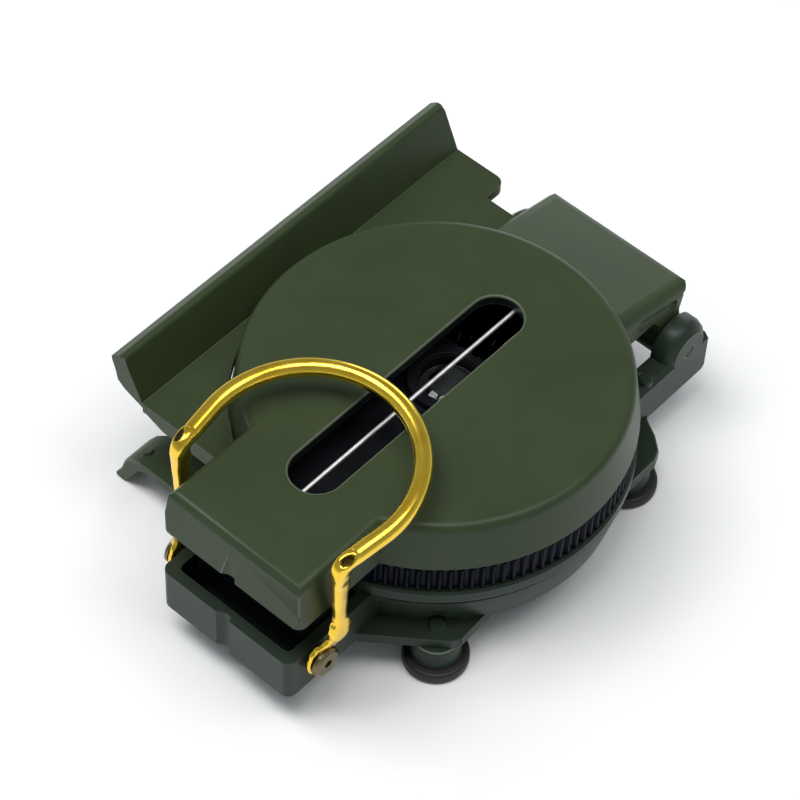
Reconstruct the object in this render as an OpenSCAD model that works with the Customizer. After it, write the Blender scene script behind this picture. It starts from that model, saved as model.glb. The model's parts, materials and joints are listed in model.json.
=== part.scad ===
// Folding sighting compass, shown closed: ribbed bezel and damped dial in a cast bowl,
// cast lid with sighting wire and side straight edge, folding eyepiece, thumb loop.
// Millimetres, +Z up. The long axis is Y: the thumb loop is at -Y, the lid hinge at +Y.
// All modules are drawn about the dial's axis; place() moves that axis so that the
// whole object's box is centred on the origin and stands on Z = 0.

/* [Case] */
// Radius of the lid's disc at its top face
lid_r = 25.9; // [25:0.1:26.5]
// Radius of the lid's skirt at its lower rim
rim_r = 26.8; // [26.4:0.1:27]
// Height of the lid's top face above the table
lid_top = 27; // [26.5:0.5:28]
// Thickness of the lid's top plate
lid_plate = 1.8; // [1.4:0.1:2]
// Half width of the lid's front tongue
lid_tongue_w = 11.9; // [11.5:0.1:12]
// Half width of the base's front tray
tray_w = 11.2; // [10.8:0.1:11.4]
// Distance from the dial's axis to the front of the base
base_front = 39.8; // [39:0.1:41]

/* [Sight] */
// Half width of the slot in the lid
slot_w = 3.65; // [3:0.05:4]
// Front end of the slot, towards the thumb loop
slot_front = 26.4; // [24:0.1:28]
// Rear end of the slot
slot_rear = 15.2; // [12:0.1:18]
// Radius of the sighting wire
wire_r = 0.3; // [0.2:0.05:0.35]
// Radius of the eyepiece's lens
lens_r = 4.1; // [3:0.1:4.5]

/* [Hinges] */
// Distance of the lid's hinge pin behind the dial's axis
hinge_y = 34; // [33.5:0.1:34.5]
// Height of the lid's hinge pin
hinge_z = 13.4; // [13:0.1:14]
// Distance of the thumb loop's rivets in front of the dial's axis
bail_y = 35; // [34.8:0.1:35.6]
// Height of the thumb loop's rivets
bail_z = 10.6; // [10:0.1:10.8]
// Radius of the thumb loop, to the middle of its wire
loop_r = 14.6; // [14.3:0.1:14.9]

/* [Bezel and dial] */
// Radius over the bezel's ribs
bezel_r = 26.6; // [26.3:0.1:26.6]
// Number of ribs round the bezel, one for each click
rib_count = 120; // [90:10:120]
// Radius of the dial card
card_r = 19.6; // [18:0.1:20]

/* [Feet] */
// Distance of each foot from the long axis
foot_x = 18.1; // [17.8:0.1:18.3]
// Distance of each foot in front of or behind the dial's axis
foot_y = 19.3; // [19:0.1:19.5]
// Radius of a rubber foot disc
pad_r = 4.45; // [4:0.05:4.6]

/* [Hidden] */
$fn = 96;
over = 0.5;                          // how far a cut runs past a face
casting_wall = 1.6;
pad_h = 1.8;
base_z = 5.3;                        // underside of the base casting and its ears
ear_h = 1.7;
ear_top = base_z + ear_h;
floor_z = base_z + casting_wall;     // top of the casting's floor
tray_top = 12.5;
bowl_top = 14.6;
bowl_r = 26.9;                       // outside of the bowl's rim band
ledge_z = 11.2;                      // ledge that carries the click spring
pocket_r = 22.2;                     // pocket that holds the capsule
collar_bore_r = 25.2;                // bore that guides the bezel's collar
lid_rim = 19.6;
lid_under = lid_top - lid_plate;
edge = 1.3;                          // fillet round the lid's top edge
lid_front = base_front - 1.1;
corner_r = 1.3;                      // plan radius of the tongue's and tray's corners
block_w = 12.3;                      // half width of the lid's hinge block
block_top = 24.7;                    // top of the hinge block where it leaves the disc
block_y = 24.5;
block_rear = 37.7;
block_slope = 12;
knuckle_r = 2.8;
lug_r = 4.3;
arm_in = 12.65;                      // inner and outer faces of the hinge arms
arm_out = 16;
arm_top = 13.4;
pin_r = 0.9;
run = 0.05;                          // radial clearance of a running fit
fold_x = 27.2;                       // fold line of the lid's straight edge
edge_plate = 1.7;                    // thickness of both straight edges
web_top = 20.5;
web_h = 18.8;                        // underside of the lid's straight edge
lip_h = 17.5;                        // underside of the lip along its front
web_front = 26.6;
web_rear = 35.4;
web_cut_r = 27.05;
tab_tip = 33;                        // outer end of the drooped tabs on the base's edge
boss_at = [-28.9, -24.3, 6.58];         // round boss on the front tab's slope
tab_y = 20.4;                        // where the drooped tab ends, towards the dial
loop_wire = 1.25;
loop_back = 8.4;                     // from the line through the bends to the loop's middle
bend_x = 13.6;
bend_y = 33.2;
bend_z = 30;
loop_tilt = 4;                       // the loop's free end stands off the lid
spade_z = 16.7;                      // flattened end of each leg
eye_r = 2.4;
eye_in = 11.55;
eye_out = 12.6;
rivet_r = 1;
eyepiece_y = 32.4;                   // eyepiece hinge
eyepiece_z = 10.2;
barrel_r = 3;
barrel_w = 9.2;
arm_z = 19.9;                        // underside of the eyepiece's folded arm
arm_h = 1.6;
lens_y = 2.4;
card_z = 10.9;
cup_r = 22.1;
glass_z = 17.2;
post_r = 1;
post_head = 1.3;
shift_x = (tab_tip - bowl_r) / 2;
shift_y = (base_front - hinge_y - lug_r) / 2;

olive = "#3f4630";
black = "#15171c";
gilt = "#d9a520";
steel = "#c8cacc";
rubber = "#2b2623";
glass = "#b9cdd2";

// ---- helpers ----

module place() { translate([shift_x, shift_y, 0]) children(); }

// Rectangle from corner a to corner b with true round corners of radius r
module round_rect(a, b, r) {
    translate([a[0] + r, a[1]]) square([b[0] - a[0] - 2 * r, b[1] - a[1]]);
    translate([a[0], a[1] + r]) square([b[0] - a[0], b[1] - a[1] - 2 * r]);
    for (x = [a[0] + r, b[0] - r], y = [a[1] + r, b[1] - r]) translate([x, y]) circle(r);
}

// Ring of inner radius ri and outer radius ro
module ring(ri, ro, z, h) {
    translate([0, 0, z]) difference() {
        cylinder(r = ro, h = h);
        translate([0, 0, -over]) cylinder(r = ri, h = h + 2 * over);
    }
}

// Cylinder along X from x0 to x1 on the axis (y, z)
module x_rod(r, x0, x1, y, z) {
    translate([x0, y, z]) rotate([0, 90, 0]) cylinder(r = r, h = x1 - x0);
}

// Outline in (y, z) drawn from x0 to x1
module x_slab(points, x0, x1) {
    translate([x0, 0, 0]) rotate([90, 0, 90]) linear_extrude(height = x1 - x0) polygon(points);
}

// Outline in (x, z) drawn from y0 to y1
module y_slab(points, y0, y1) {
    translate([0, y1, 0]) rotate([90, 0, 0]) linear_extrude(height = y1 - y0) polygon(points);
}

// One child at each of the four feet
module at_feet() {
    for (sx = [-1, 1], sy = [-1, 1]) translate([sx * foot_x, sy * foot_y, 0]) children();
}

// Upright groove down the middle of a front wall whose face is at -y
module front_groove(y, z0, z1, depth) {
    translate([0, 0, z0 - over]) linear_extrude(height = z1 - z0 + 2 * over)
        polygon([[-1.5, -y - 1], [-1.5, -y], [-0.7, -y + 0.8 * depth], [-0.1, -y + depth],
                 [0.5, -y + depth], [0.9, -y], [0.9, -y - 1]]);
}

// Drafted and filleted bar along Y, seen end on: half width w0 at z0 and w1 at the top z1
function loaf(w0, z0, w1, z1, r) = [
    [w0, z0], [w1, z1 - r], [w1 - 0.13 * r, z1 - 0.5 * r], [w1 - 0.5 * r, z1 - 0.13 * r],
    [w1 - r, z1], [r - w1, z1], [0.5 * r - w1, z1 - 0.13 * r], [0.13 * r - w1, z1 - 0.5 * r],
    [-w1, z1 - r], [-w0, z0]];

// ---- base ----

module bowl_outline() {
    polygon([[0, base_z], [24, base_z], [24.8, base_z + 0.3], [25.3, base_z + 1],
             [25.6, base_z + 2.2], [26.2, 10], [26.35, tray_top - 0.9],
             [26, tray_top - 0.6], [26, tray_top - 0.2], [bowl_r, tray_top + 0.1],
             [bowl_r, bowl_top - 0.3], [bowl_r - 0.3, bowl_top], [0, bowl_top]]);
}

// The right ears stand on their posts. The left ones are one plate higher, over the edge.
module ears() {
    front_ear = [[8, -20], [8, -30], [10.7, -27.8], [15.8, -23.9], [19.9, -20.8],
                 [21.1, -19.9], [21.7, -18.5], [21.5, -14.9], [21.3, -11.5], [14, -10]];
    rear_ear = [[12, 20], [12, 27.2], [16.6, 25.4], [18.9, 24.1], [20.9, 22.4],
                [21.6, 20.8], [21.7, 16.3], [21.4, 12.5], [14, 10]];
    translate([0, 0, base_z]) linear_extrude(height = ear_h) {
        polygon(front_ear);
        polygon(rear_ear);
    }
    translate([0, 0, ear_top]) linear_extrude(height = ear_h) mirror([1, 0]) {
        polygon(front_ear);
        polygon(rear_ear);
    }
}

module hinge_arm() {
    intersection() {
        x_slab([[18, base_z], [36.9, base_z], [hinge_y + lug_r - 0.1, 6.8],
                [hinge_y + lug_r, arm_top], [18, arm_top]], arm_in, arm_out);
        y_slab([[arm_in - 1, base_z], [arm_out - 1.2, base_z], [arm_out, base_z + 1.2],
                [arm_out, arm_top - 0.8], [arm_out - 0.7, arm_top], [arm_in - 1, arm_top]],
               17, hinge_y + lug_r + 1);
    }
    translate([0, hinge_y, hinge_z]) rotate([90, 0, 90]) {
        translate([0, 0, arm_in]) cylinder(r = lug_r, h = 1.65);
        translate([0, 0, 14.3]) cylinder(r1 = lug_r, r2 = lug_r - 0.35, h = 0.9);
        translate([0, 0, 15.2]) cylinder(r1 = lug_r - 0.35, r2 = lug_r - 1.3, h = 0.8);
    }
    translate([14.8, 26, arm_top - over]) cylinder(r = 1.1, h = over + 0.6);
    translate([14.8, 26, arm_top + 0.6]) cylinder(r1 = 1.1, r2 = 0.8, h = 0.3);
}

module base_solid() {
    rotate_extrude() bowl_outline();
    translate([0, 0, base_z]) linear_extrude(height = tray_top - base_z)
        round_rect([-tray_w, -base_front], [tray_w, -18], corner_r);
    ears();
    hinge_arm();
    mirror([1, 0, 0]) hinge_arm();
}

module base_body() {
    color(olive) difference() {
        base_solid();
        translate([0, 0, floor_z]) cylinder(r = pocket_r, h = bowl_top);
        translate([0, 0, ledge_z]) cylinder(r = collar_bore_r, h = bowl_top);
        translate([0, 0, 13.2]) cylinder(r = collar_bore_r + 0.5, h = 0.7);
        difference() {
            translate([0, 0, floor_z]) linear_extrude(height = bowl_top)
                round_rect([-tray_w + casting_wall, -base_front + casting_wall],
                           [tray_w - casting_wall, -18], 0.8);
            cylinder(r = bowl_r, h = 2 * bowl_top);
        }
        front_groove(base_front, base_z, tray_top, 0.7);
        x_rod(pin_r, -arm_out - over, arm_out + over, hinge_y, hinge_z);
        x_rod(0.8, -tray_w - over, tray_w + over, -eyepiece_y, eyepiece_z);
        x_rod(rivet_r, -tray_w - over, tray_w + over, -bail_y, bail_z);
        at_feet() {
            translate([0, 0, base_z - over]) cylinder(r = post_r, h = 5);
        }
        for (side = [-1, 1], sy = [-1, 1])
            translate([side * foot_x, sy * foot_y, side > 0 ? ear_top : ear_top + ear_h])
                cylinder(r = post_head + 0.1, h = 1);
    }
}

// Section of the base's straight edge with a tab that droops to the table
module drooped_section() {
    polygon([[-20, base_z], [-27.6, base_z], [-28.6, 4.9], [-30.3, 2.1], [-31.1, 0.9],
             [-31.6, 0.3], [-tab_tip, 0.3], [-tab_tip, 0.9], [-32.1, 1.9], [-31.9, 3],
             [-31.3, 4.8], [-30.6, 5.6], [-29.8, 6.1], [-28.7, 6.7], [-27.4, ear_top],
             [-20, ear_top]]);
}

// Flat plate under the left ears, with a drooped tab at each end
module base_straight_edge() {
    color(olive) difference() {
        union() {
            translate([0, 0, base_z]) linear_extrude(height = ear_h) difference() {
                polygon([[-11.4, -web_front], [-fold_x - 0.4, -web_front],
                         [-fold_x - 0.4, web_rear], [-17, web_rear], [-16.3, web_rear - 0.7],
                         [-16.3, 10], [-11.4, 0]]);
                circle(25.75);
            }
            for (m = [0, 1]) translate([0, m * (web_rear - web_front), 0])
                mirror([0, m, 0]) intersection() {
                    translate([0, -tab_y, 0]) rotate([90, 0, 0])
                        linear_extrude(height = web_front - tab_y) drooped_section();
                    linear_extrude(height = tray_top)
                        polygon([[-20, -web_front], [-tab_tip - 0.2, -web_front],
                                 [-tab_tip - 0.2, -24.6], [-32.2, -22.4], [-30.6, -20.9],
                                 [-29, -tab_y], [-20, -tab_y]]);
                }
            translate([boss_at[0], boss_at[1], boss_at[2]]) rotate([0, -29, 0])
                translate([0, 0, -0.5]) cylinder(r1 = 0.85, r2 = 0.75, h = 0.8);
        }
        at_feet() translate([0, 0, base_z - over]) cylinder(r = post_r, h = 5);
    }
}

module foot_posts() {
    color(olive) at_feet() {
        translate([0, 0, 0.8]) cylinder(r = 1.5, h = 1);
        translate([0, 0, pad_h]) cylinder(r1 = 3.4, r2 = 3.2, h = base_z - pad_h);
    }
    color(olive) for (side = [-1, 1], sy = [-1, 1])
        translate([side * foot_x, sy * foot_y, base_z]) {
            top = side > 0 ? ear_h : 2 * ear_h;
            cylinder(r = post_r, h = top);
            translate([0, 0, top]) cylinder(r1 = post_head, r2 = post_head - 0.3, h = 0.5);
        }
}

module foot_pads() {
    color(rubber) at_feet() difference() {
        union() {
            cylinder(r1 = pad_r - 0.3, r2 = pad_r, h = 0.3);
            translate([0, 0, 0.3]) cylinder(r = pad_r, h = pad_h - 0.6);
            translate([0, 0, pad_h - 0.3]) cylinder(r1 = pad_r, r2 = pad_r - 0.3, h = 0.3);
        }
        translate([0, 0, 0.8]) cylinder(r = 1.5, h = pad_h);
    }
}

module hinge_pin() {
    color(steel) x_rod(pin_r, -arm_out + 0.15, arm_out - 0.15, hinge_y, hinge_z);
}

module eyepiece_pin() {
    color(steel) x_rod(0.8, -tray_w + 0.1, tray_w - 0.1, -eyepiece_y, eyepiece_z);
}

module bail_rivets() {
    color("#8f7a4c") for (side = [-1, 1]) mirror([side < 0 ? 1 : 0, 0, 0]) {
        x_rod(rivet_r, tray_w - casting_wall, eye_out + 0.1, -bail_y, bail_z);
        translate([eye_out + 0.1, -bail_y, bail_z]) rotate([0, 90, 0]) difference() {
            union() {
                cylinder(r = 2.2, h = 0.5);
                translate([0, 0, 0.5]) cylinder(r1 = 2.2, r2 = 1.8, h = 0.3);
            }
            translate([0, 0, 0.4]) cylinder(r = 0.6, h = 0.6);
        }
    }
}

// ---- capsule and dial ----

module capsule_cup() {
    color("#2a2d2e") difference() {
        translate([0, 0, floor_z]) cylinder(r = cup_r, h = 13 - floor_z);
        translate([0, 0, floor_z + 1]) cylinder(r = cup_r - 1.3, h = 13);
        translate([0, 0, floor_z + 0.4]) cylinder(r = 0.7, h = 2);
    }
}

module capsule_gasket() { color(rubber) ring(cup_r - 1.2, cup_r, 13, 0.4); }

module capsule_window() {
    color(glass, 0.4) translate([0, 0, 13.4]) cylinder(r = cup_r, h = 1.2);
}

module pivot_pin() {
    color(steel) translate([0, 0, floor_z + 0.4]) {
        cylinder(r = 0.7, h = 2.4);
        translate([0, 0, 2.4]) cylinder(r1 = 0.7, r2 = 0.1, h = 1.2);
    }
}

module dial_card() { color("#17191b") ring(2.2, card_r, card_z, 0.4); }

module dial_magnet() {
    color("#7d8086") difference() {
        translate([-2.4, -13, card_z - 1.2]) cube([4.8, 26, 1.2]);
        translate([0, 0, card_z - 1.2 - over]) cylinder(r = 1.5, h = 1.2 + 2 * over);
    }
}

module jewel_cap() {
    color("#b32035") difference() {
        union() {
            translate([0, 0, card_z - 0.6]) cylinder(r = 1.5, h = 0.6);
            translate([0, 0, card_z]) cylinder(r = 2.2, h = 0.4);
            translate([0, 0, card_z + 0.4]) cylinder(r1 = 2.2, r2 = 1.4, h = 1);
        }
        translate([0, 0, card_z - 0.7]) cylinder(r1 = 1.1, r2 = 0.3, h = 1.2);
    }
}

// ---- bezel ----

module rib_outline() {
    root_r = bezel_r - 0.5;
    step = 360 / rib_count;
    polygon([for (i = [0:rib_count - 1], k = [[0, root_r], [0.2, bezel_r - 0.06],
                                               [0.3, bezel_r], [0.45, bezel_r - 0.06],
                                               [0.65, root_r]])
        let (a = (i + k[0]) * step) [k[1] * cos(a), k[1] * sin(a)]]);
}

module bezel_ring() {
    color(black) difference() {
        union() {
            translate([0, 0, 14.9]) linear_extrude(height = 4) rib_outline();
            translate([0, 0, 18.9]) cylinder(r1 = bezel_r - 0.5, r2 = bezel_r - 0.9, h = 0.4);
            translate([0, 0, 12.6]) cylinder(r = collar_bore_r - run, h = 2.4);
        }
        translate([0, 0, 12]) cylinder(r = 22.6, h = 3);
        translate([0, 0, 14.4]) cylinder(r = 23.4, h = 3);
        translate([0, 0, glass_z]) cylinder(r = 24.4, h = 3);
        ring(collar_bore_r - 0.6, collar_bore_r + over, 13.2, 0.7);
    }
}

module bezel_glass() {
    color(glass, 0.4) translate([0, 0, glass_z]) cylinder(r = 24.35, h = 1.4);
}

module bezel_index_line() {
    color("#cfe6a0") translate([-0.4, 14, glass_z + 1.4]) cube([0.8, 8, 0.2]);
}

module bezel_retaining_ring() {
    color(steel) difference() {
        ring(collar_bore_r - 0.5, collar_bore_r + 0.5, 13.3, 0.5);
        translate([-1.5, -collar_bore_r - 2, 13]) cube([3, 4, 2]);
    }
}

// Leaf on the bowl's ledge, with the bump that clicks under the bezel's collar
module bezel_click_spring() {
    color(steel) {
        intersection() {
            ring(pocket_r + 0.3, collar_bore_r - 0.3, ledge_z, 0.3);
            translate([10, -12, ledge_z - over]) cube([20, 24, 2]);
        }
        translate([22.9, 0, ledge_z + 0.3]) rotate([0, 90, 0])
            intersection() {
                cylinder(r = 1, h = 1.6);
                translate([-2, -2, 0]) cube([2, 4, 2]);
            }
    }
}

// ---- lid ----

module lid_disc() {
    rotate_extrude() polygon([
        [0, lid_rim], [rim_r, lid_rim], [lid_r, lid_top - edge],
        [lid_r - 0.07 * edge, lid_top - 0.62 * edge], [lid_r - 0.29 * edge, lid_top - 0.29 * edge],
        [lid_r - 0.62 * edge, lid_top - 0.07 * edge], [lid_r - edge, lid_top], [0, lid_top]]);
}

module lid_tongue() {
    intersection() {
        y_slab(loaf(lid_tongue_w, lid_rim, lid_tongue_w - 0.7, lid_top, 1.2), -lid_front, -14);
        x_slab([[-lid_front, lid_rim], [-lid_front + 0.7, lid_top - 1.2],
                [-lid_front + 0.86, lid_top - 0.6], [-lid_front + 1.3, lid_top - 0.16],
                [-lid_front + 1.9, lid_top], [-14, lid_top], [-14, lid_rim]],
               -lid_tongue_w, lid_tongue_w);
        translate([0, 0, lid_rim]) linear_extrude(height = lid_top)
            round_rect([-lid_tongue_w, -lid_front], [lid_tongue_w, -10], corner_r);
    }
}

// Sloping block behind the disc. It reaches down between the hinge arms.
module hinge_block() {
    intersection() {
        x_slab([[18, lid_rim], [18, block_top + 1.4], [block_y, block_top],
                [36.6, block_top - 2.58], [37.2, block_top - 2.8], [37.6, block_top - 3.2],
                [block_rear, 21.2], [37.5, 20.8], [36.4, 20.5], [35.7, 17.95],
                [31.5, 17.95], [30, lid_rim]], -block_w, block_w);
        translate([0, block_y, block_top]) rotate([-block_slope, 0, 0])
            y_slab(loaf(block_w, -10, block_w, 0, 2), -8, 16);
        translate([0, 0, 10]) linear_extrude(height = 20)
            round_rect([-block_w, 10], [block_w, block_rear], 1.5);
    }
    x_slab([[31.6, 18], [31.4, hinge_z + 1], [31.2, hinge_z], [36.8, hinge_z],
            [36.4, hinge_z + 1.4], [35.7, 18]], -block_w, block_w);
    x_rod(knuckle_r, -block_w, block_w, hinge_y, hinge_z);
}

module lid_hollow() {
    translate([0, 0, lid_rim - over]) {
        cylinder(r = lid_r - casting_wall, h = lid_under - lid_rim + over);
        linear_extrude(height = lid_under - lid_rim + over)
            round_rect([-lid_tongue_w + casting_wall + 0.6, -lid_front + casting_wall + 0.6],
                       [lid_tongue_w - casting_wall - 0.6, -14], 1);
        translate([-block_w + casting_wall, 20, 0])
            cube([2 * (block_w - casting_wall), 11.4, 2.6]);
    }
}

// Long shallow scoop in the side wall of the hinge block
module side_scoop(side) {
    translate([side * (block_w + 0.7), 27.3, 21.5]) {
        sphere(1.2);
        rotate([-90 - 14, 0, 0]) cylinder(r = 1.2, h = 7);
        rotate([-14, 0, 0]) translate([0, 7, 0]) sphere(1.2);
    }
}

module lid() {
    color(olive) difference() {
        union() {
            lid_disc();
            lid_tongue();
            hinge_block();
        }
        lid_hollow();
        translate([0, 0, lid_under - over]) linear_extrude(height = lid_plate + 2 * over)
            round_rect([-slot_w, -slot_front], [slot_w, slot_rear], slot_w - 0.01);
        front_groove(lid_front, lid_rim, lid_top - 1.3, 0.6);
        x_rod(pin_r + run, -block_w - over, block_w + over, hinge_y, hinge_z);
        for (side = [-1, 1]) side_scoop(side);
        translate([-block_w - over, 25, web_h - 0.05])
            cube([7 + over, 6.4, edge_plate + 0.1]);
        for (y = [26.8, 29.6]) translate([-8, y, lid_rim]) cylinder(r = 0.6, h = 3.2);
    }
}

// Plan of the lid's straight edge: cut round the disc, with a tongue under the hinge block
module edge_plan() {
    difference() {
        union() {
            translate([-fold_x, -web_front]) square([fold_x - lid_tongue_w - 0.5, web_front]);
            round_rect([-fold_x - 2, 0], [-18.4, web_rear], 1.5);
            translate([-20, 0]) square([20 - block_w - 0.05, 31.3]);
            translate([-block_w - 0.1, 25.1]) square([6.9, 6.2]);
        }
        translate([-fold_x - 3, -1]) square([3, web_rear + 2]);
        circle(web_cut_r);
    }
}

module lid_straight_edge() {
    color(olive) {
        difference() {
            translate([0, 0, web_h]) linear_extrude(height = edge_plate) edge_plan();
            for (y = [26.8, 29.6])
                translate([-8, y, web_h - over]) cylinder(r = 0.6, h = 3);
        }
        y_slab([[-fold_x + 0.3, web_h], [-fold_x, 19.6], [-30.4, 20.8], [-31.6, 21.8],
                [-31.9, 23.4], [-32.5, 25.3], [-32.5, 25.9], [-31.3, 26.9], [-30.3, 26.95],
                [-30, 26.7], [-fold_x, web_top], [-fold_x + 0.3, web_top]],
               -web_front, web_rear);
        y_slab([[-fold_x + 0.8, web_h], [-25.6, 18.3], [-23.6, lip_h], [-12.6, lip_h],
                [-12.6, web_h]], -web_front, -web_front + 1.5);
    }
}

module straight_edge_screws() {
    color(steel) for (y = [26.8, 29.6]) translate([-8, y, 0]) {
        translate([0, 0, web_h - 0.7]) cylinder(r = 1.2, h = 0.7);
        translate([0, 0, web_h]) cylinder(r = 0.6, h = edge_plate + 2.1);
    }
}

module sighting_wire() {
    color(steel) translate([0, -slot_front - 1.9, lid_under - wire_r - 0.05])
        rotate([-90, 0, 0]) cylinder(r = wire_r, h = slot_front + slot_rear + 3.8);
}

module wire_anchors() {
    color(steel) for (y = [-slot_front - 3.4, slot_rear + 3.4])
        translate([0, y, lid_under - 1.6]) cylinder(r = 1.5, h = 1.6);
}

module luminous_dots() {
    color("#cfe6a0") for (y = [-slot_front - 6.6, slot_rear + 6.4])
        translate([0, y, lid_under - 0.3]) cylinder(r = 1, h = 0.3);
}

// ---- eyepiece ----

module eyepiece_bracket() {
    color(black) difference() {
        union() {
            x_rod(barrel_r, -barrel_w, barrel_w, -eyepiece_y, eyepiece_z);
            x_slab([[-35.2, eyepiece_z], [-34.8, arm_z], [-33.6, arm_z + arm_h],
                    [-28.8, arm_z + arm_h], [-28.8, arm_z], [-29.8, 18.5],
                    [-29.6, eyepiece_z]], -barrel_w, barrel_w);
            translate([0, 0, arm_z]) linear_extrude(height = arm_h) {
                translate([-6.5, -30]) square([13, 32]);
                round_rect([-6.5, -10], [6.5, 8.3], 1.5);
            }
            translate([0, lens_y, arm_z]) cylinder(r = lens_r + 1.3, h = 2.9);
        }
        x_rod(0.8 + run, -barrel_w - over, barrel_w + over, -eyepiece_y, eyepiece_z);
        translate([0, lens_y, arm_z - over]) cylinder(r = lens_r - 0.6, h = 4);
        translate([0, lens_y, arm_z + 0.5]) cylinder(r = lens_r, h = 4);
        translate([-0.5, 7.4, arm_z - over]) cube([1, 3, 4]);
            }
}

module eyepiece_lens() {
    color(glass, 0.4) translate([0, lens_y, arm_z + 0.5]) {
        cylinder(r = lens_r, h = 1);
        translate([0, 0, 1]) cylinder(r1 = lens_r - 0.3, r2 = lens_r - 1.6, h = 0.5);
    }
}

module lens_retaining_ring() {
    color(black) translate([0, lens_y, 0]) ring(lens_r - 0.3 + 0.02, lens_r, arm_z + 1.5, 1.1);
}

// ---- thumb loop ----

module loop_ring() {
    reach = norm([bend_x, loop_back]);
    start = acos(loop_r / reach) - atan2(loop_back, bend_x);
    translate([0, -bend_y, bend_z]) rotate([loop_tilt, 0, 0]) translate([0, loop_back, 0]) {
        rotate([0, 0, start]) rotate_extrude(angle = 180 - 2 * start)
            translate([loop_r, 0]) circle(loop_wire, $fn = 48);
        for (m = [0, 1]) mirror([m, 0, 0]) rotate([0, 0, start]) translate([loop_r, 0, 0]) {
            sphere(loop_wire + 0.05, $fn = 48);
            rotate([90, 0, 0])
                cylinder(r = loop_wire, h = sqrt(reach * reach - loop_r * loop_r), $fn = 48);
        }
    }
}

// Leg from the bend down to its flattened spade, then a cranked strip to the rivet's eye
module bail_leg() {
    lean = 0.1;
    translate([bend_x, -bend_y, bend_z]) sphere(loop_wire + 0.08, $fn = 48);
    translate([bend_x - lean, -bend_y, spade_z])
        rotate([0, atan(lean / (bend_z - spade_z)), 0])
            cylinder(r = loop_wire, h = norm([lean, bend_z - spade_z]), $fn = 48);
    for (z = [spade_z - 0.7, spade_z + 0.7]) x_rod(1.85, 13.05, 14.35, -bend_y - 0.2, z);
    translate([13.05, -bend_y - 2.05, spade_z - 0.7]) cube([1.3, 3.7, 1.4]);
    intersection() {
        x_slab([[-bend_y - 1.7, 15.8], [-bail_y - 1.6, bail_z + 1.4], [-bail_y - 1.6, bail_z],
                [-bail_y + 1.6, bail_z], [-bail_y + 1.7, bail_z + 1.5],
                [-bend_y + 1.1, 15.8]], 11, 15);
        y_slab([[13, 16.2], [14.2, 16.2], [14.2, 15.2], [eye_out - 0.05, 12.4],
                [eye_out - 0.05, bail_z], [eye_in + 0.05, bail_z], [eye_in + 0.05, 12.9],
                [13, 15.4]], -40, -30);
    }
    x_rod(eye_r, eye_in, eye_out, -bail_y, bail_z);
}

module bail() {
    color(gilt) difference() {
        union() {
            loop_ring();
            bail_leg();
            mirror([1, 0, 0]) bail_leg();
        }
        x_rod(rivet_r + run, -20, 20, -bail_y, bail_z);
    }
}

// ---- output ----

place() base_body();
place() base_straight_edge();
place() foot_posts();
place() foot_pads();
place() capsule_cup();
place() capsule_gasket();
place() capsule_window();
place() pivot_pin();
place() dial_card();
place() dial_magnet();
place() jewel_cap();
place() bezel_ring();
place() bezel_glass();
place() bezel_index_line();
place() bezel_retaining_ring();
place() bezel_click_spring();
place() lid();
place() lid_straight_edge();
place() straight_edge_screws();
place() sighting_wire();
place() wire_anchors();
place() luminous_dots();
place() hinge_pin();
place() eyepiece_bracket();
place() eyepiece_lens();
place() lens_retaining_ring();
place() eyepiece_pin();
place() bail();
place() bail_rivets();
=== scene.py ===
import json
import math

import bmesh
import bpy
from mathutils import Matrix, Vector


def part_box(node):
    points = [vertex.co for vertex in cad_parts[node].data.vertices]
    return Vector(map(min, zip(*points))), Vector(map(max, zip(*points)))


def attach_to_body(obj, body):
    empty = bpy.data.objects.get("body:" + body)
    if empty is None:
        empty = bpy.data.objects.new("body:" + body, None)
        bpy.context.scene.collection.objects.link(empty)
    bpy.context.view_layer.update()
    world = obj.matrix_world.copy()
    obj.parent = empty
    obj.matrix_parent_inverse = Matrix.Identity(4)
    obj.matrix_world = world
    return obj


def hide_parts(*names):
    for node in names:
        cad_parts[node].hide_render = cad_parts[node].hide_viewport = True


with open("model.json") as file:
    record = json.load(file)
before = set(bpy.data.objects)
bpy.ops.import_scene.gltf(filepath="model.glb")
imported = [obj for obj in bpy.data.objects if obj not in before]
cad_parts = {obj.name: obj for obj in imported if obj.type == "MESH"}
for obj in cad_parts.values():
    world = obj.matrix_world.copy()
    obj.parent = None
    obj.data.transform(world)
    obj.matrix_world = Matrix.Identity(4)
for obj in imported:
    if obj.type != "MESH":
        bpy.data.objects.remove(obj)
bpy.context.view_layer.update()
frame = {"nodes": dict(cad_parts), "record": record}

MM = 0.001
nodes = frame["nodes"]
bodies = frame["record"]["behaviour"]["bodies"]
body_of_node = {node: body for body, names in bodies.items() for node in names}


def middle(node):
    low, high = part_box(node)
    return (Vector(low) + Vector(high)) / 2


# The dial's axis and the lid's top from the imported model; the tray's top is given
axis = middle("dial_card")
lid_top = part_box("lid")[1][2]
tray_top = 12.5 * MM


# ---------------------------------------------------------------- materials

def new_material(name):
    material = bpy.data.materials.new(name)
    material.use_nodes = True
    tree = material.node_tree
    return material, tree, tree.nodes["Principled BSDF"]


def add(tree, kind, **settings):
    node = tree.nodes.new(kind)
    for key, value in settings.items():
        setattr(node, key, value)
    return node


def noise(tree, scale, detail=4, roughness=0.6):
    """Noise in object space. Scale is in features per metre."""
    place = add(tree, "ShaderNodeTexCoord")
    texture = add(tree, "ShaderNodeTexNoise")
    tree.links.new(place.outputs["Object"], texture.inputs["Vector"])
    texture.inputs["Scale"].default_value = scale
    texture.inputs["Detail"].default_value = detail
    texture.inputs["Roughness"].default_value = roughness
    return texture


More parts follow.
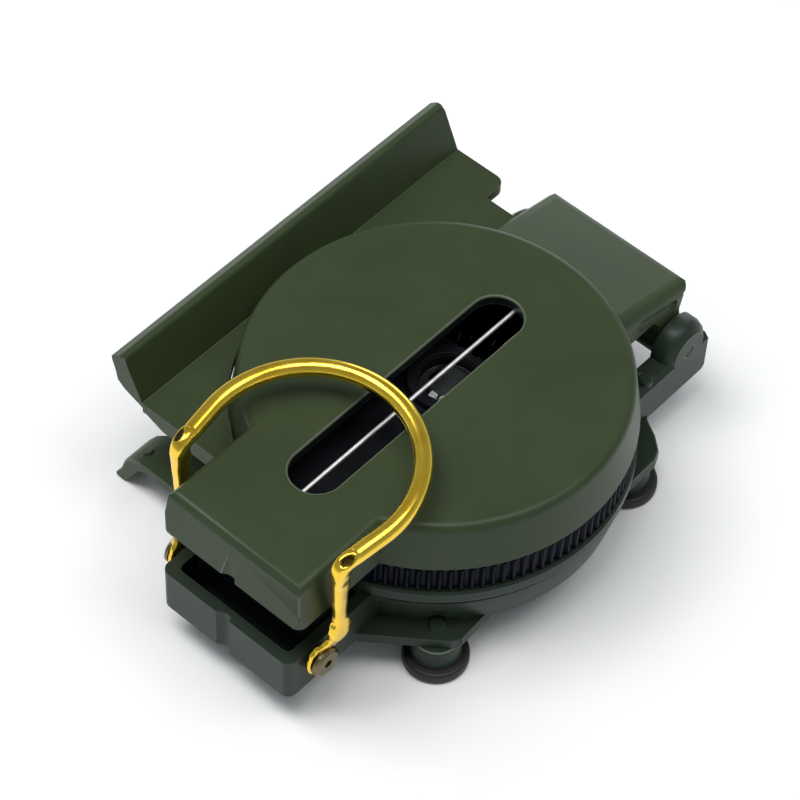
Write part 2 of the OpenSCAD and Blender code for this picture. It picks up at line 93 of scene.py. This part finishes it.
def ramp(tree, source, stops):
    """Colour ramp through (position, colour) stops, read from a noise or other value."""
    node = add(tree, "ShaderNodeValToRGB")
    elements = node.color_ramp.elements
    while len(elements) < len(stops):
        elements.new(0.5)
    for element, (position, colour) in zip(elements, stops):
        element.position = position
        element.color = (*colour, 1)
    tree.links.new(source, node.inputs["Fac"])
    return node


def span(tree, source, low, high, from_low=0.0, from_high=1.0):
    """source mapped to low..high."""
    node = add(tree, "ShaderNodeMapRange")
    node.inputs["From Min"].default_value = from_low
    node.inputs["From Max"].default_value = from_high
    node.inputs["To Min"].default_value = low
    node.inputs["To Max"].default_value = high
    tree.links.new(source, node.inputs["Value"])
    return node.outputs["Result"]


def bump(tree, shader, source, distance, strength=1.0, under=None):
    node = add(tree, "ShaderNodeBump")
    node.inputs["Distance"].default_value = distance
    node.inputs["Strength"].default_value = strength
    tree.links.new(source, node.inputs["Height"])
    if under is not None:
        tree.links.new(under.outputs["Normal"], node.inputs["Normal"])
    tree.links.new(node.outputs["Normal"], shader.inputs["Normal"])
    return node


def shade(colour, factor):
    return tuple(channel * factor for channel in colour)


def paint(name, colour, roughness=(0.34, 0.46), coat=0.03):
    """Stoved satin enamel: faint mottling, orange peel and fine dust nibs."""
    material, tree, shader = new_material(name)
    mottle = noise(tree, 90, 5)
    tint = ramp(tree, mottle.outputs["Fac"],
                [(0.3, shade(colour, 0.9)), (0.7, shade(colour, 1.12))])
    tree.links.new(tint.outputs["Color"], shader.inputs["Base Color"])
    wear = noise(tree, 400, 6, 0.7)
    tree.links.new(span(tree, wear.outputs["Fac"], *roughness), shader.inputs["Roughness"])
    peel = noise(tree, 1400, 2, 0.4)
    first = bump(tree, shader, peel.outputs["Fac"], 0.02 * MM, 0.35)
    nibs = noise(tree, 5200, 2, 0.5)
    bump(tree, shader, nibs.outputs["Fac"], 0.01 * MM, 0.25, first)
    shader.inputs["Coat Weight"].default_value = coat
    shader.inputs["Coat Roughness"].default_value = 0.22
    shader.inputs["Specular IOR Level"].default_value = 0.24
    # Teal specular tint: painted reflection colour of cool surroundings, not a property of the
    # enamel
    shader.inputs["Specular Tint"].default_value = (0.78, 0.97, 1.0, 1)
    return material


def anodised_black(name, colour):
    """Blue-black anodised aluminium with a fine matt tooth."""
    material, tree, shader = new_material(name)
    cloud = noise(tree, 260, 4)
    tint = ramp(tree, cloud.outputs["Fac"],
                [(0.3, shade(colour, 0.75)), (0.75, shade(colour, 1.35))])
    tree.links.new(tint.outputs["Color"], shader.inputs["Base Color"])
    tree.links.new(span(tree, cloud.outputs["Fac"], 0.28, 0.44), shader.inputs["Roughness"])
    grain = noise(tree, 6000, 2)
    bump(tree, shader, grain.outputs["Fac"], 0.008 * MM, 0.3)
    shader.inputs["Metallic"].default_value = 0.25
    shader.inputs["Specular IOR Level"].default_value = 0.05
    return material


def gilt(name):
    """Lacquered gilt wire with a cloudy tint and small dings."""
    material, tree, shader = new_material(name)
    cloud = noise(tree, 300, 5, 0.65)
    tint = ramp(tree, cloud.outputs["Fac"],
                [(0.3, (0.93, 0.56, 0.03)), (0.7, (1.0, 0.7, 0.07))])
    tree.links.new(tint.outputs["Color"], shader.inputs["Base Color"])
    shader.inputs["Metallic"].default_value = 1
    tree.links.new(span(tree, cloud.outputs["Fac"], 0.12, 0.27), shader.inputs["Roughness"])
    dings = noise(tree, 900, 3, 0.5)
    bump(tree, shader, dings.outputs["Fac"], 0.01 * MM, 0.15)
    shader.inputs["Coat Weight"].default_value = 0.3
    shader.inputs["Coat Roughness"].default_value = 0.08
    return material


def turned_metal(name, colour, roughness=0.3):
    """Bare metal with a fine scratched grain."""
    material, tree, shader = new_material(name)
    cloud = noise(tree, 700, 5, 0.7)
    tint = ramp(tree, cloud.outputs["Fac"], [(0.3, shade(colour, 0.7)), (0.7, colour)])
    tree.links.new(tint.outputs["Color"], shader.inputs["Base Color"])
    shader.inputs["Metallic"].default_value = 1
    tree.links.new(span(tree, cloud.outputs["Fac"], roughness - 0.08, roughness + 0.1),
                   shader.inputs["Roughness"])
    scratch = noise(tree, 2500, 3, 0.6)
    bump(tree, shader, scratch.outputs["Fac"], 0.01 * MM, 0.4)
    return material


def rubber(name, colour):
    material, tree, shader = new_material(name)
    cloud = noise(tree, 500, 5)
    tint = ramp(tree, cloud.outputs["Fac"], [(0.3, shade(colour, 0.7)), (0.75, shade(colour, 1.5))])
    tree.links.new(tint.outputs["Color"], shader.inputs["Base Color"])
    tree.links.new(span(tree, cloud.outputs["Fac"], 0.45, 0.65), shader.inputs["Roughness"])
    grain = noise(tree, 3500, 3)
    bump(tree, shader, grain.outputs["Fac"], 0.03 * MM, 0.35)
    return material


def plastic(name, colour, roughness=0.45):
    material, tree, shader = new_material(name)
    cloud = noise(tree, 350, 4)
    tint = ramp(tree, cloud.outputs["Fac"],
                [(0.3, shade(colour, 0.85)), (0.7, shade(colour, 1.15))])
    tree.links.new(tint.outputs["Color"], shader.inputs["Base Color"])
    tree.links.new(span(tree, cloud.outputs["Fac"], roughness - 0.06, roughness + 0.08),
                   shader.inputs["Roughness"])
    grain = noise(tree, 4500, 2)
    bump(tree, shader, grain.outputs["Fac"], 0.01 * MM, 0.3)
    return material


def clear_glass(name, tint=(0.9, 0.96, 0.95)):
    material, tree, shader = new_material(name)
    shader.inputs["Base Color"].default_value = (*tint, 1)
    shader.inputs["Transmission Weight"].default_value = 1
    shader.inputs["IOR"].default_value = 1.46
    smear = noise(tree, 120, 4)
    tree.links.new(span(tree, smear.outputs["Fac"], 0.01, 0.06), shader.inputs["Roughness"])
    return material


OLIVE = (0.031, 0.044, 0.0165)
mats = {
    "paint": paint("olive_enamel", OLIVE),
    # Darker, cooler olive for the base and its posts: partly the base's own tone, partly painted
    # shade under the lid
    "base_paint_with_shade": paint("olive_enamel_base_with_painted_shade", (0.0175, 0.026, 0.0165)),
    # Lighter olive for the rounded edge strips: partly worn enamel, partly painted highlight along
    # the edges
    "worn_edge_and_highlight": paint("olive_enamel_worn_edge_and_painted_highlight", (0.085, 0.1, 0.066), (0.26, 0.36), 0.1),
    # Near-black for the lid's hollow, its slot walls and the tray's inside: painted shade in the
    # recesses
    "inside": paint("near_black_recess_shade", (0.006, 0.0075, 0.009), (0.4, 0.55), 0.05),
    "bezel": anodised_black("blue_black_anodising", (0.003, 0.0045, 0.01)),
    "bracket": anodised_black("black_anodising", (0.008, 0.009, 0.011)),
    "gilt": gilt("gilt_lacquer"),
    "bronze": turned_metal("dull_bronze", (0.2, 0.165, 0.085), 0.32),
    # Dark brown for the deepest faces of the loop's pressed hollows: painted shade in the hollow
    "hollow_shade": turned_metal("painted_hollow_shade", (0.05, 0.032, 0.006), 0.5),
    "wire": turned_metal("white_steel_wire", (0.98, 0.98, 0.97), 0.5),
    "steel": turned_metal("bright_steel", (0.82, 0.82, 0.8), 0.2),
    "magnet": turned_metal("sintered_magnet", (0.3, 0.3, 0.32), 0.5),
    "rubber": rubber("brown_rubber", (0.007, 0.0058, 0.005)),
    "cup": plastic("dark_moulding", (0.022, 0.024, 0.024)),
    "card": plastic("black_dial_card", (0.010, 0.011, 0.011), 0.5),
    "print": plastic("pale_print", (0.7, 0.72, 0.62), 0.5),
    "ruby": plastic("ruby_jewel", (0.35, 0.01, 0.03), 0.12),
    "glow": plastic("luminous_compound", (0.55, 0.68, 0.34), 0.6),
    "glass": clear_glass("polished_glass"),
}


# ---------------------------------------------------------------- pieces

MERGE = 0.002 * MM      # points nearer than this are one point
FLAT = 0.4              # faces that meet at fewer degrees than this are joined
SHARP = 28              # edges of more degrees than this are rounded
CREASE = 40             # edges still above this many degrees keep a hard line
ROOM_SHARE = 0.45       # how much of the space beside an edge its rounding may take
STEEP_SHARE = 0.4       # a neighbouring edge counts if this much of it runs square to the edge


def copied(node, name):
    """The CAD node's mesh in a new object, with its flat faces joined up again."""
    source = nodes[node]
    piece = bpy.data.objects.new(name, source.data.copy())
    bpy.context.scene.collection.objects.link(piece)
    work = bmesh.new()
    work.from_mesh(piece.data)
    bmesh.ops.remove_doubles(work, verts=work.verts, dist=MERGE)
    bmesh.ops.dissolve_limit(work, angle_limit=math.radians(FLAT), verts=work.verts,
                             edges=work.edges)
    for face in work.faces:
        face.smooth = True
    work.to_mesh(piece.data)
    work.free()
    while len(piece.data.materials):
        piece.data.materials.pop(index=0)
    return piece


def attach(piece, node):
    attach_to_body(piece, body_of_node[node])
    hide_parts(node)


def sharp(edge, angle):
    return len(edge.link_faces) == 2 and edge.calc_face_angle() > math.radians(angle)


def in_order(work):
    """Bevel lists what it makes in memory order. Sorting by place gives the same list each run."""
    places = ((work.verts, lambda vertex: tuple(vertex.co)),
              (work.edges, lambda edge: sorted(tuple(vertex.co) for vertex in edge.verts)),
              (work.faces, lambda face: sorted(tuple(vertex.co) for vertex in face.verts)))
    for elements, place in places:
        for rank, element in enumerate(sorted(elements, key=place)):
            element.index = rank
        elements.sort()


def finish_edges(piece, width, segments=2, edge_slot=-1):
    """Round the sharp edges that have room for it, one connected chain at a time."""
    width = width * MM
    work = bmesh.new()
    work.from_mesh(piece.data)
    roomy = [edge for edge in work.edges
             if sharp(edge, SHARP) and clearance(edge) > width / ROOM_SHARE]
    waiting = set(roomy)
    chains = []
    for first in roomy:
        if first not in waiting:
            continue
        waiting.remove(first)
        chain = [first]
        for edge in chain:
            for vertex in edge.verts:
                beside = [other for other in vertex.link_edges if other in waiting]
                waiting.difference_update(beside)
                chain.extend(beside)
        chains.append(chain)
    for chain in chains:
        chain = [edge for edge in chain if edge.is_valid]
        # Where edge_slot is given, the rounded strips take that material: for enamel, the lighter
        # edge paint, worn enamel and painted highlight at once
        bmesh.ops.bevel(work, geom=chain, offset=width, segments=segments, profile=0.5,
                        affect="EDGES", clamp_overlap=True, material=edge_slot)
    for face in work.faces:
        face.smooth = True
    for edge in work.edges:
        edge.smooth = not sharp(edge, CREASE)
    in_order(work)
    work.to_mesh(piece.data)
    work.free()
    soft = piece.modifiers.new("face_normals", "WEIGHTED_NORMAL")
    soft.keep_sharp = True
    soft.weight = 80


def clearance(edge):
    """Shortest reach of the edges that leave this one's ends, measured square to it."""
    along = (edge.verts[1].co - edge.verts[0].co).normalized()
    room = 1.0
    for vertex in edge.verts:
        for other in vertex.link_edges:
            if other is edge:
                continue
            across = (other.verts[1].co - other.verts[0].co).cross(along).length
            if across > STEEP_SHARE * other.calc_length():
                room = min(room, across)
    return room


def part(node, material, width=0.15, segments=2, inside=None, name=None):
    """A rounded, shaded copy of a CAD node. inside(centre, normal) picks the faces given near-black
    painted shade.
    """
    piece = copied(node, name or node + "_finished")
    piece.data.materials.append(mats[material])
    if inside is not None:
        piece.data.materials.append(mats["inside"])
        for face in piece.data.polygons:
            if inside(face.center, face.normal):
                face.material_index = 1
    edge_slot = -1
    # Enamel pieces get the lighter edge paint on their rounded strips, worn enamel and painted
    # highlight at once
    if material in ("paint", "base_paint_with_shade"):
        piece.data.materials.append(mats["worn_edge_and_highlight"])
        edge_slot = len(piece.data.materials) - 1
    finish_edges(piece, width, segments, edge_slot=edge_slot)
    attach(piece, node)
    return piece


EAR_OUT = 17 * MM       # the ears lie further than this from the dial's axis along X
EAR_TOP = 9 * MM
EAR_WALL = (1.2 * MM, 2 * MM)   # height of the flange walls whose corners are rounded
EAR_RADIUS = 0.9 * MM
EAR_BEND = 0.12         # corners straighter than this many radians are left


def round_ears(piece):
    """The ears' outlines are smooth curves: round the corners between their side walls."""
    work = bmesh.new()
    work.from_mesh(piece.data)
    corners = []
    for edge in work.edges:
        a, b = edge.verts[0].co, edge.verts[1].co
        upright = abs(a.x - b.x) + abs(a.y - b.y) < 0.01 * MM
        wall = EAR_WALL[0] < abs(a.z - b.z) < EAR_WALL[1]
        outside = abs((a.x + b.x) / 2 - axis.x) > EAR_OUT and max(a.z, b.z) < EAR_TOP
        if not (upright and wall and outside and len(edge.link_faces) == 2):
            continue
        if edge.calc_face_angle() > EAR_BEND:
            corners.append(edge)
    bmesh.ops.bevel(work, geom=corners, offset=EAR_RADIUS, segments=4, profile=0.5,
                    affect="EDGES", clamp_overlap=True)
    for face in work.faces:
        face.smooth = True
    in_order(work)
    work.to_mesh(piece.data)
    work.free()


def keep(node, material):
    """A CAD node whose shape is right stays, with a better material."""
    for place in nodes[node].material_slots:
        place.material = mats[material]


def from_axis(point):
    return Vector((point.x - axis.x, point.y - axis.y)).length


# ---------------------------------------------------------------- thumb loop

# Sizes of the loop are in mm from the dial's axis, and thumb_loop() turns them into metres
RING_RADIUS = 14.6      # to the middle of the wire
RING_BACK = 8.4         # from the line through both bends to the ring's middle
RING_TILT = math.radians(4)
WIRE = 1.25             # radius
BEND = Vector((13.6, -33.2, 30))
# Down one leg from the bend: x, z, half width along Y, half thickness along X
LEG = [(13.58, 27.9, 1.3, 1), (13.56, 26.2, 1.3, 0.84), (13.52, 23, 1.14, 0.76),
       (13.5, 20, 0.98, 0.72), (13.55, 18.8, 1.08, 0.68), (13.62, 17.9, 1.6, 0.66),
       (13.67, 17, 1.88, 0.64), (13.7, 16.1, 1.8, 0.62), (13.7, 15.4, 1.35, 0.58),
       (13.68, 14.95, 0.8, 0.48), (13.66, 14.75, 0.25, 0.25)]
AROUND = 72             # points round the section
PAST_BEND = 2.1         # where the straight wire begins, from the bend
HOLLOW = (1.3, 0.75)    # half length and half width of the pressed hollow at each bend
HOLLOW_DEPTH = 0.3      # as a share of the wire's radius
HOLLOW_SHIFT = 0.35     # along the wire, away from the bend
HOLLOW_EDGE = 0.12      # painted shade where the hollow is deeper than this


def ring_station(angle):
    """Point, and outward direction, on the ring. Angle 0 is along +X."""
    turn = Matrix.Rotation(RING_TILT, 3, "X")
    out = turn @ Vector((math.cos(angle), math.sin(angle), 0))
    centre = Vector((0, BEND.y, BEND.z)) + turn @ Vector((0, RING_BACK, 0))
    return centre + out * RING_RADIUS, out


def corner(start, end, steps=30):
    """Tight bend between two stations, round the point where the leg meets the ring."""
    side = 1 if start[0].x > 0 else -1
    bend = Vector((side * BEND.x, BEND.y - 0.45, BEND.z + 0.5))
    stations = []
    for i in range(1, steps):
        t = i / steps
        point = start[0] * (1 - t) ** 2 + bend * 2 * t * (1 - t) + end[0] * t * t
        flat = 1 - t if start[4] else t
        stations.append((point, start[1].lerp(end[1], t), start[2] * (1 - t) + end[2] * t,
                         start[3] * (1 - t) + end[3] * t, flat))
    return stations


def shoulder(side, low):
    """Straight wire from just past the bend to where it runs into the ring."""
    point, out = ring_station(low if side > 0 else math.pi - low)
    bend = Vector((side * BEND.x, BEND.y, BEND.z))
    near = bend + (point - bend).normalized() * PAST_BEND
    return [(near.lerp(point, k / 12), out, WIRE, WIRE, 0) for k in range(12)]


def loop_stations():
    """(point, thickness direction, half width, half thickness, flatness) from spade to spade."""
    reach = math.hypot(BEND.x, RING_BACK)
    low = math.acos(RING_RADIUS / reach) - math.atan2(RING_BACK, BEND.x)
    steps = 84
    ring = []
    for i in range(steps + 1):
        point, out = ring_station(low + (math.pi - 2 * low) * i / steps)
        ring.append((point, out, WIRE, WIRE, 0))
    ring = shoulder(1, low) + ring + list(reversed(shoulder(-1, low)))
    legs = []
    for side in (1, -1):
        leg = [(Vector((side * x, BEND.y, z)), Vector((side, 0, 0)), w, h, 1)
               for x, z, w, h in LEG]
        legs.append(subdivided(leg))
    first = list(reversed(legs[0]))
    return first + corner(first[-1], ring[0]) + ring + corner(ring[-1], legs[1][0]) + legs[1]


def subdivided(stations, count=5):
    """Straight lines between stations, with widths eased so that the outline has no corners."""
    fine = []
    for a, b in zip(stations, stations[1:]):
        for k in range(count):
            t = k / count
            ease = t * t * (3 - 2 * t)
            fine.append((a[0].lerp(b[0], t), a[1], a[2] + (b[2] - a[2]) * ease,
                         a[3] + (b[3] - a[3]) * ease, 1))
    return fine + [stations[-1]]


def pressed(point, hollows):
    """Depth of a point in the pressed hollows, from 0 to 1. Each has a centre and an axis."""
    deepest = 0
    for centre, along in hollows:
        away = point - centre
        length = away.dot(along)
        across = (away - along * length).length
        deepest = max(deepest, 1 - (length / HOLLOW[0]) ** 2 - (across / HOLLOW[1]) ** 2)
    return deepest


def sweep(work, path, hollows=()):
    """Closed bar along the path. Its section goes from round to a rounded oblong with flatness."""
    rings = []
    for i, (point, out, width, thick, flat) in enumerate(path):
        ahead = path[min(i + 1, len(path) - 1)][0] - path[max(i - 1, 0)][0]
        along = ahead.normalized()
        n = (out - along * out.dot(along)).normalized()
        b = along.cross(n)
        power = 1 - 0.4 * flat
        ring = []
        for k in range(AROUND):
            a = 2 * math.pi * (k + 0.5) / AROUND
            c = math.copysign(abs(math.cos(a)) ** power, math.cos(a))
            d = math.copysign(abs(math.sin(a)) ** power, math.sin(a))
            spot = point + n * thick * c + b * width * d
            depth = pressed(spot, hollows)
            spot += (point - spot) * HOLLOW_DEPTH * min(1, depth * 1.3)
            ring.append(work.verts.new(spot))
        rings.append(ring)
    for a, b in zip(rings, rings[1:]):
        for k in range(AROUND):
            face = work.faces.new((a[k], a[(k + 1) % AROUND], b[(k + 1) % AROUND], b[k]))
            # Faces deep in a pressed hollow take the second material, painted shade in the hollow
            if hollows and min(pressed(v.co, hollows) for v in face.verts) > HOLLOW_EDGE:
                face.material_index = 1
    work.faces.new(rings[0])
    work.faces.new(rings[-1])


# Cranked strip from behind the spade to the rivet's eye: x, y, z and half width
LINK = [(13.35, -33.3, 16.4, 0.7), (13.3, -33.4, 15.6, 1.1), (13.2, -33.55, 14.6, 1.15),
        (12.75, -34.1, 13.4, 1.4), (12.25, -34.6, 12.6, 1.8), (12.09, -34.9, 11.9, 2.15),
        (12.08, -35, 11.2, 2.35), (12.08, -35, 10.6, 2.4), (12.08, -35, 9.9, 2.3),
        (12.08, -35, 9.2, 1.95), (12.08, -35, 8.6, 1.4), (12.08, -35, 8.3, 0.85),
        (12.08, -35, 8.21, 0.3)]


def thumb_loop():
    work = bmesh.new()
    path = loop_stations()
    hollows = []
    for side in (1, -1):
        bend = Vector((side * BEND.x, BEND.y, BEND.z))
        i = min(range(len(path)), key=lambda k: (path[k][0] - bend).length)
        along = (ring_station(0 if side > 0 else math.pi)[0] - bend).normalized()
        face = Vector((side * 0.35, -0.4, 0.85))
        face = (face - along * face.dot(along)).normalized()
        hollows.append((path[i][0] + face * WIRE + along * HOLLOW_SHIFT, along))
    sweep(work, path, hollows)
    for side in (1, -1):
        strip = [(Vector((side * x, y, z)), Vector((side, 0, 0)), half, 0.5, 1)
                 for x, y, z, half in LINK]
        sweep(work, subdivided(strip))
    bmesh.ops.recalc_face_normals(work, faces=work.faces)
    for vertex in work.verts:
        vertex.co = Vector((axis.x, axis.y, 0)) + vertex.co * MM
    for face in work.faces:
        face.smooth = len(face.verts) == 4
    piece = new_piece("thumb_loop_wire", work, "gilt", "hollow_shade")
    attach(piece, "bail")


def new_piece(name, work, *looks):
    mesh = bpy.data.meshes.new(name)
    work.to_mesh(mesh)
    work.free()
    piece = bpy.data.objects.new(name, mesh)
    bpy.context.scene.collection.objects.link(piece)
    for look in looks:
        mesh.materials.append(mats[look])
    return piece


# ---------------------------------------------------------------- dial print

# Strokes of each numeral on a grid 2 wide and 4 high
STROKES = {"0": "00 20 24 04 00", "1": "10 14", "2": "04 24 22 02 00 20",
           "3": "04 24 22 02 22 20 00", "4": "04 02 22 24 20", "5": "24 04 02 22 20 00",
           "6": "24 04 00 20 22 02", "7": "04 24 20", "8": "00 20 24 04 00 02 22",
           "9": "20 24 04 02 22"}


CELL = 0.36 * MM        # side of one cell of the numerals' grid
# Shares of the card's radius: where ticks start and end, and the middle of the numerals
TICK_LONG, TICK_SHORT, TICK_END, NUMERALS = 0.87, 0.91, 0.96, 0.78
# North arrow: x in mm, y as a share of the card's radius
ARROW = [(-0.9, 0.34), (0, 0.66), (0.9, 0.34), (0.35, 0.38), (0.35, 0.2), (-0.35, 0.2),
         (-0.35, 0.38)]


def stroke(work, a, b, half, low, high):
    """A thin raised bar from a to b in the dial's plane."""
    along = (b - a).normalized()
    across = Vector((-along.y, along.x)) * half
    a, b = a - along * half, b + along * half
    corners = [a - across, b - across, b + across, a + across]
    under = [work.verts.new((c.x, c.y, low)) for c in corners]
    over = [work.verts.new((c.x, c.y, high)) for c in corners]
    work.faces.new(over)
    work.faces.new(list(reversed(under)))
    for k in range(4):
        work.faces.new((under[k], under[(k + 1) % 4], over[(k + 1) % 4], over[k]))


def dial_print():
    low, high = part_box("dial_card")
    radius = (high[0] - low[0]) / 2
    centre = Vector((axis.x, axis.y))
    z0, z1 = high[2] - 0.01 * MM, high[2] + 0.03 * MM
    work = bmesh.new()
    for step in range(72):
        heading = math.radians(90 - 5 * step)
        out = Vector((math.cos(heading), math.sin(heading)))
        side = Vector((out.y, -out.x))
        long = step % 6 == 0
        begin = TICK_LONG if long else TICK_SHORT
        stroke(work, centre + out * radius * begin, centre + out * radius * TICK_END,
               (0.14 if long else 0.07) * MM, z0, z1)
        if not long:
            continue
        label = str(step * 5 // 10)
        start = -(len(label) * 3 - 1) / 2
        for place, digit in enumerate(label):
            points = [Vector((int(g[0]) + start + 3 * place, int(g[1]) - 2)) * CELL
                      for g in STROKES[digit].split()]
            points = [centre + out * (radius * NUMERALS + p.y) + side * p.x for p in points]
            for a, b in zip(points, points[1:]):
                stroke(work, a, b, 0.09 * MM, z0, z1)
    bmesh.ops.recalc_face_normals(work, faces=work.faces)
    marks = new_piece("dial_scale_print", work, "print")
    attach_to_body(marks, "dial")

    work = bmesh.new()
    outline = [centre + Vector((x * MM, y * radius)) for x, y in ARROW]
    under = [work.verts.new((p.x, p.y, z0)) for p in outline]
    over = [work.verts.new((p.x, p.y, z1 + 0.03 * MM)) for p in outline]
    work.faces.new(over)
    work.faces.new(list(reversed(under)))
    for k in range(len(outline)):
        j = (k + 1) % len(outline)
        work.faces.new((under[k], under[j], over[j], over[k]))
    bmesh.ops.recalc_face_normals(work, faces=work.faces)
    arrow = new_piece("north_arrow", work, "glow")
    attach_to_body(arrow, "dial")


def lid_inside(centre, normal):
    """The lid's hollow and the walls of its slot get near-black paint as painted shade."""
    x = (centre.x - axis.x) / MM
    y = (centre.y - axis.y) / MM
    z = (lid_top - centre.z) / MM
    in_slot = abs(x) < 3.7 and -26.5 < y < 15.3 and 0.2 < z < 1.9 and abs(normal.z) < 0.3
    in_disc = z > 1.7 and from_axis(centre) < 24.4 * MM and normal.z < 0.3
    in_tongue = z > 1.7 and abs(x) < 9.8 and -36.8 < y < -14 and normal.z < 0.3
    return in_slot or in_disc or in_tongue


def base_inside(centre, _normal):
    """The tray's floor and inner walls get near-black paint as painted shade."""
    x = (centre.x - axis.x) / MM
    y = (centre.y - axis.y) / MM
    return abs(x) < 9.7 and -38.3 < y < -24 and 6.8 * MM < centre.z < tray_top - 0.05 * MM


round_ears(part("base_body", "base_paint_with_shade", 0.22, 3, base_inside))
part("base_straight_edge", "paint", 0.25, 3)
part("foot_posts", "base_paint_with_shade", 0.2)
part("foot_pads", "rubber", 0.15)
part("bezel_ring", "bezel", 0.06, 1)
part("lid", "paint", 0.3, 3, lid_inside)
part("lid_straight_edge", "paint", 0.25, 3)
part("eyepiece_bracket", "bracket", 0.2, 3)
thumb_loop()


KEPT = {
    "bail_rivets": "bronze",
    "capsule_cup": "cup",
    "capsule_gasket": "rubber",
    "capsule_window": "glass",
    "pivot_pin": "steel",
    "dial_card": "card",
    "dial_magnet": "magnet",
    "jewel_cap": "ruby",
    "bezel_glass": "glass",
    "bezel_index_line": "glow",
    "bezel_retaining_ring": "steel",
    "bezel_click_spring": "steel",
    "straight_edge_screws": "steel",
    "sighting_wire": "wire",
    "wire_anchors": "steel",
    "luminous_dots": "glow",
    "hinge_pin": "paint",
    "eyepiece_lens": "glass",
    "lens_retaining_ring": "bracket",
    "eyepiece_pin": "steel",
}
dial_print()
for node, material in KEPT.items():
    keep(node, material)


# ---------------------------------------------------------------- camera, floor and light

AZIMUTH = math.radians(39.825)
ELEVATION = math.radians(51.249)
ROLL = math.radians(2.653)
DISTANCE = 418.85 * MM
AIM = (-4.794 * MM, -4.204 * MM)    # from the middle of the lid's top, rightwards and upwards
LENS = 146.64
SENSOR = 36

back = Vector((math.sin(AZIMUTH) * math.cos(ELEVATION), -math.cos(AZIMUTH) * math.cos(ELEVATION),
               math.sin(ELEVATION)))
level = Vector((math.cos(AZIMUTH), math.sin(AZIMUTH), 0))
rise = back.cross(level)
right = level * math.cos(ROLL) + rise * math.sin(ROLL)
up = rise * math.cos(ROLL) - level * math.sin(ROLL)
aim = Vector((axis.x, axis.y, lid_top)) + right * AIM[0] + up * AIM[1]
camera = bpy.data.cameras.new("camera")
camera.lens = LENS
camera.sensor_width = SENSOR
camera.clip_start = 0.01
camera_object = bpy.data.objects.new("camera", camera)
bpy.context.scene.collection.objects.link(camera_object)
turn = Matrix((right, up, back)).transposed().to_4x4()
camera_object.matrix_world = Matrix.Translation(aim + back * DISTANCE) @ turn
bpy.context.scene.camera = camera_object


def floor_piece():
    work = bmesh.new()
    bmesh.ops.create_grid(work, x_segments=8, y_segments=8, size=1.5)
    mesh = bpy.data.meshes.new("floor")
    work.to_mesh(mesh)
    work.free()
    floor = bpy.data.objects.new("floor", mesh)
    bpy.context.scene.collection.objects.link(floor)
    material, tree, shader = new_material("pale_floor")
    cloud = noise(tree, 3, 2)
    tint = ramp(tree, cloud.outputs["Fac"], [(0.3, (0.86, 0.86, 0.86)), (0.7, (0.88, 0.88, 0.88))])
    tree.links.new(tint.outputs["Color"], shader.inputs["Base Color"])
    shader.inputs["Roughness"].default_value = 0.7
    mesh.materials.append(material)


def softbox(name, azimuth, elevation, distance, size, power, colour=(1, 1, 1)):
    """A square light aimed at the object. Azimuth 0 is in front of it, along -Y."""
    light = bpy.data.lights.new(name, "AREA")
    light.size = size
    light.energy = power
    light.color = colour
    lamp = bpy.data.objects.new(name, light)
    bpy.context.scene.collection.objects.link(lamp)
    a, e = math.radians(azimuth), math.radians(elevation)
    away = Vector((math.sin(a) * math.cos(e), -math.cos(a) * math.cos(e), math.sin(e)))
    lamp.location = away * distance
    lamp.rotation_euler = away.to_track_quat("Z", "Y").to_euler()


floor_piece()
softbox("left_softbox", -55, 66, 0.8, 0.35, 3.0)
softbox("right_softbox", 118, 68, 0.8, 0.35, 1.6)
softbox("top_softbox", 10, 80, 0.9, 0.3, 2.2)
softbox("rim_softbox", 205, 14, 0.8, 0.3, 0.9)


# Height above the horizon, as the sine of the elevation, and the colour there
WALLS = [(0.0, (0.42, 0.52, 0.55)), (0.25, (0.38, 0.45, 0.48)), (0.6, (0.3, 0.31, 0.32))]
WALL_BRIGHTNESS = 0.9


def studio_world():
    """Cool walls, brighter at the horizon than the ceiling."""
    world = bpy.data.worlds.new("studio")
    world.use_nodes = True
    tree = world.node_tree
    place = add(tree, "ShaderNodeTexCoord")
    split = add(tree, "ShaderNodeSeparateXYZ")
    tree.links.new(place.outputs["Generated"], split.inputs["Vector"])
    height = ramp(tree, split.outputs["Z"], WALLS)
    backdrop = tree.nodes["Background"]
    tree.links.new(height.outputs["Color"], backdrop.inputs["Color"])
    backdrop.inputs["Strength"].default_value = WALL_BRIGHTNESS
    bpy.context.scene.world = world


studio_world()
bpy.context.scene.view_settings.view_transform = "Standard"
